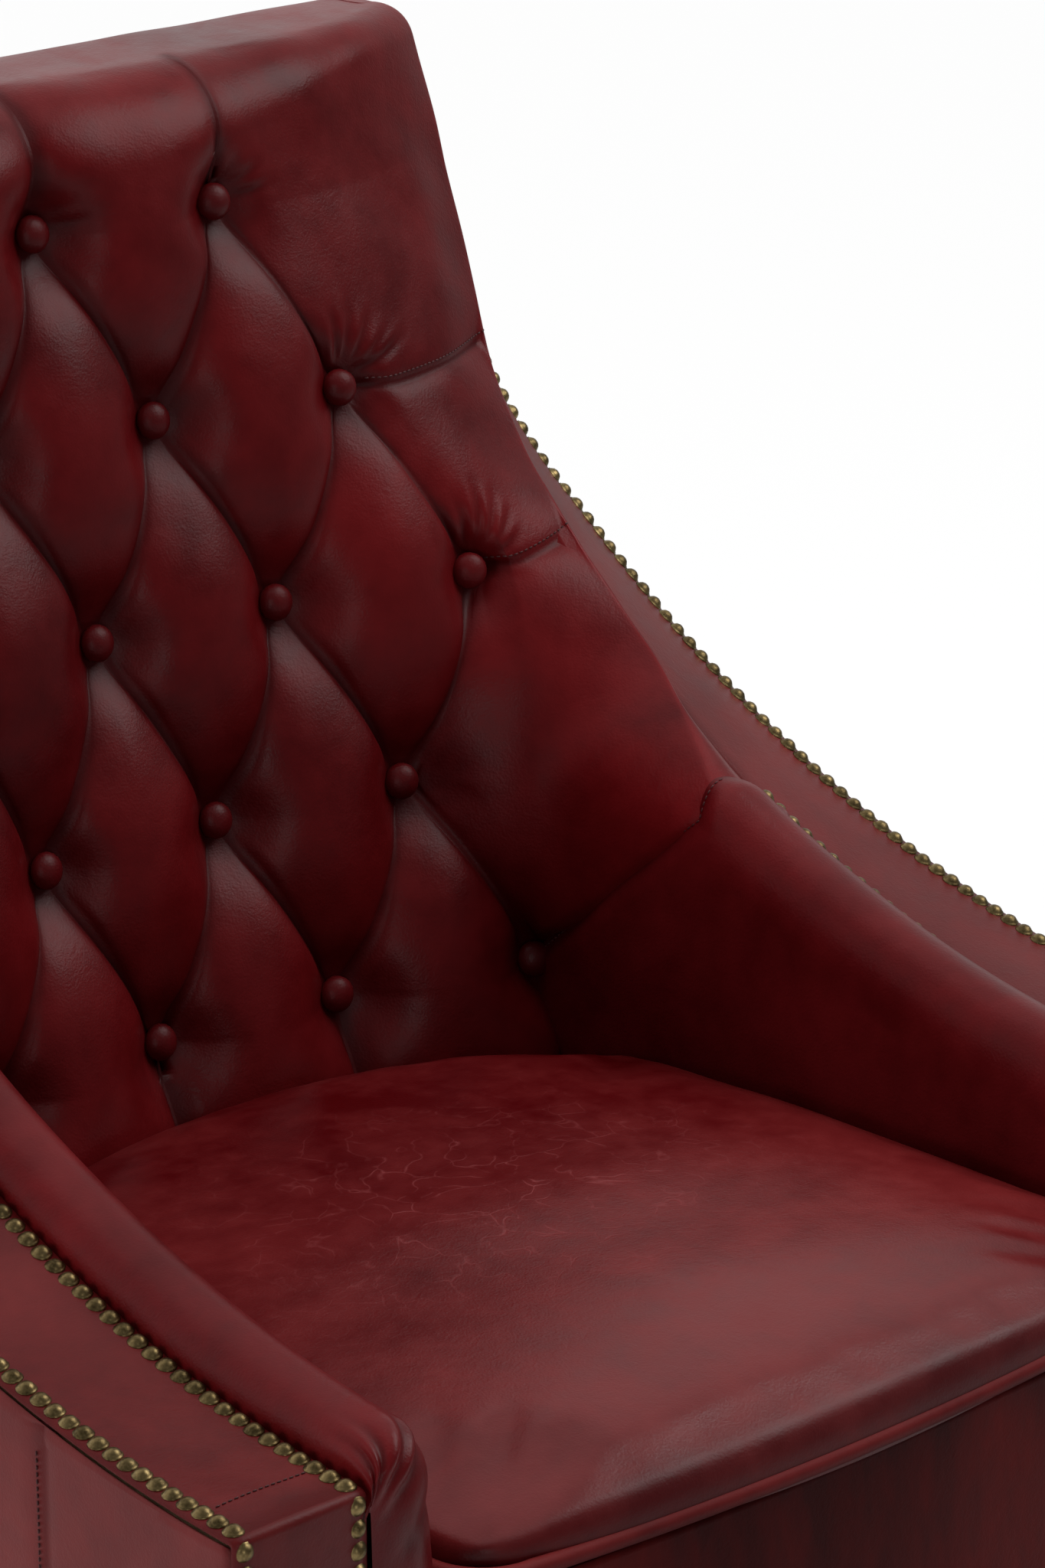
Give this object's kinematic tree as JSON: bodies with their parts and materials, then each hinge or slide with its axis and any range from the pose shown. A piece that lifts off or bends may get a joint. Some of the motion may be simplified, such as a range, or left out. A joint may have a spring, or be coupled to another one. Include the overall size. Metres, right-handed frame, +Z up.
{
  "type": "lounge chair",
  "caption": "Upholstered lounge chair in buttoned oxblood leather: barrel back, swept arms edged with brass nails, crowned seat, tapered wooden legs.",
  "frame": {"origin": "on the floor under the middle of the chair", "axes": "+Z up, the sitter faces -Y, +X to the sitter's left; left and right in node names are as seen from the front"},
  "size_m": [0.78, 0.7391, 0.99],
  "materials": {
    "leather": "semi-gloss, aged",
    "frame_wood": "raw",
    "leg_wood": "satin stain",
    "foam": "foam",
    "cloth": "woven",
    "steel": "plain",
    "nail_brass": "antique",
    "glide": "matte"
  },
  "bodies": {
    "root": {"seat_cover": "leather", "seat_cord": "leather", "front_border": "leather", "arm_cover_left": "leather", "arm_cover_right": "leather", "back_cover": "leather", "top_roll": "leather", "back_buttons": "leather", "arm_band_left": "leather", "arm_band_right": "leather", "arm_facing_left": "leather", "arm_facing_right": "leather", "outside_arm_left": "leather", "outside_arm_right": "leather", "outside_back": "leather", "front_rail": "frame_wood", "rear_rail": "frame_wood", "side_rail_left": "frame_wood", "side_rail_right": "frame_wood", "arm_post_left": "frame_wood", "arm_post_right": "frame_wood", "back_post_left": "frame_wood", "back_post_right": "frame_wood", "crest_rail": "frame_wood", "lower_back_rail": "frame_wood", "arm_rail_left": "frame_wood", "arm_rail_right": "frame_wood", "arm_stretcher_left": "frame_wood", "arm_stretcher_right": "frame_wood", "corner_blocks": "frame_wood", "front_leg_left": "leg_wood", "front_leg_right": "leg_wood", "rear_leg_left": "leg_wood", "rear_leg_right": "leg_wood", "seat_foam": "foam", "front_wadding": "foam", "arm_foam_left": "foam", "arm_foam_right": "foam", "back_foam": "foam", "spring_deck": "cloth", "back_straps": "cloth", "dust_cover": "cloth", "seat_springs": "steel", "spring_clips": "steel", "leg_bolts": "steel", "inner_nails_left": "nail_brass", "inner_nails_right": "nail_brass", "outer_nails_left": "nail_brass", "outer_nails_right": "nail_brass", "rear_nails": "nail_brass", "leg_glides": "glide"}
  },
  "joints": []
}
